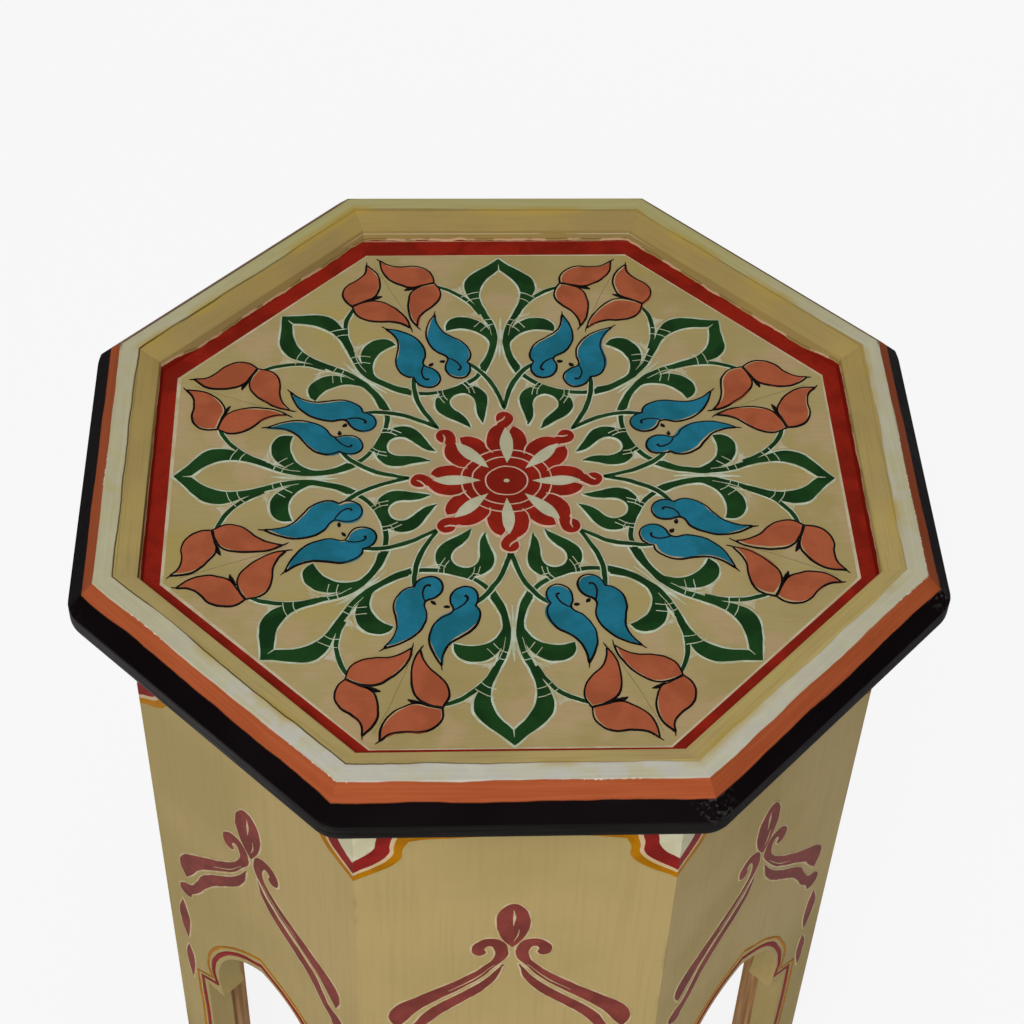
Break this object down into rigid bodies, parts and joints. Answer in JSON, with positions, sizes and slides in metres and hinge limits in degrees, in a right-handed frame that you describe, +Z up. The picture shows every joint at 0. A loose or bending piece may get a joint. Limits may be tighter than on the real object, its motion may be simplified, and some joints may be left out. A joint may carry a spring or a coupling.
{
  "type": "octagonal side table",
  "caption": "Octagonal wooden side table: a sunk top with painted floral ornament in a mitred banded rim, on flat mitred side panels with pointed arch openings that leave short feet.",
  "frame": {"origin": "on the floor under the middle of the table, bottom centre of its box", "axes": "+Z up along the table's upright symmetry axis; -Y is the side that faces the camera in the picture; flats of the octagon face X, Y and the diagonals"},
  "size_m": [0.4, 0.4, 0.5],
  "materials": {
    "painted_field": "tan ground paint with floral ornament, satin varnish",
    "painted_rim": "off-white flat, orange and black bevel, satin varnish",
    "painted_slip": "tan paint, satin varnish",
    "painted_panel": "tan ground paint with burgundy and gold ornament, satin varnish",
    "bare_wood": "sawn softwood, unfinished",
    "fastener_steel": "plain steel"
  },
  "bodies": {
    "root": {"batten_brads": "fastener_steel", "corner_block_1": "bare_wood", "corner_block_2": "bare_wood", "corner_block_3": "bare_wood", "corner_block_4": "bare_wood", "corner_block_5": "bare_wood", "corner_block_6": "bare_wood", "corner_block_7": "bare_wood", "corner_block_8": "bare_wood", "inner_slip_1": "painted_slip", "inner_slip_2": "painted_slip", "inner_slip_3": "painted_slip", "inner_slip_4": "painted_slip", "inner_slip_5": "painted_slip", "inner_slip_6": "painted_slip", "inner_slip_7": "painted_slip", "inner_slip_8": "painted_slip", "rim_brads": "fastener_steel", "rim_moulding_1": "painted_rim", "rim_moulding_2": "painted_rim", "rim_moulding_3": "painted_rim", "rim_moulding_4": "painted_rim", "rim_moulding_5": "painted_rim", "rim_moulding_6": "painted_rim", "rim_moulding_7": "painted_rim", "rim_moulding_8": "painted_rim", "side_panel_1": "painted_panel", "side_panel_2": "painted_panel", "side_panel_3": "painted_panel", "side_panel_4": "painted_panel", "side_panel_5": "painted_panel", "side_panel_6": "painted_panel", "side_panel_7": "painted_panel", "side_panel_8": "painted_panel", "top_batten_1": "bare_wood", "top_batten_2": "bare_wood", "top_batten_3": "bare_wood", "top_batten_4": "bare_wood", "top_batten_5": "bare_wood", "top_batten_6": "bare_wood", "top_batten_7": "bare_wood", "top_batten_8": "bare_wood", "top_board": "painted_field", "top_screws": "fastener_steel"}
  },
  "joints": []
}
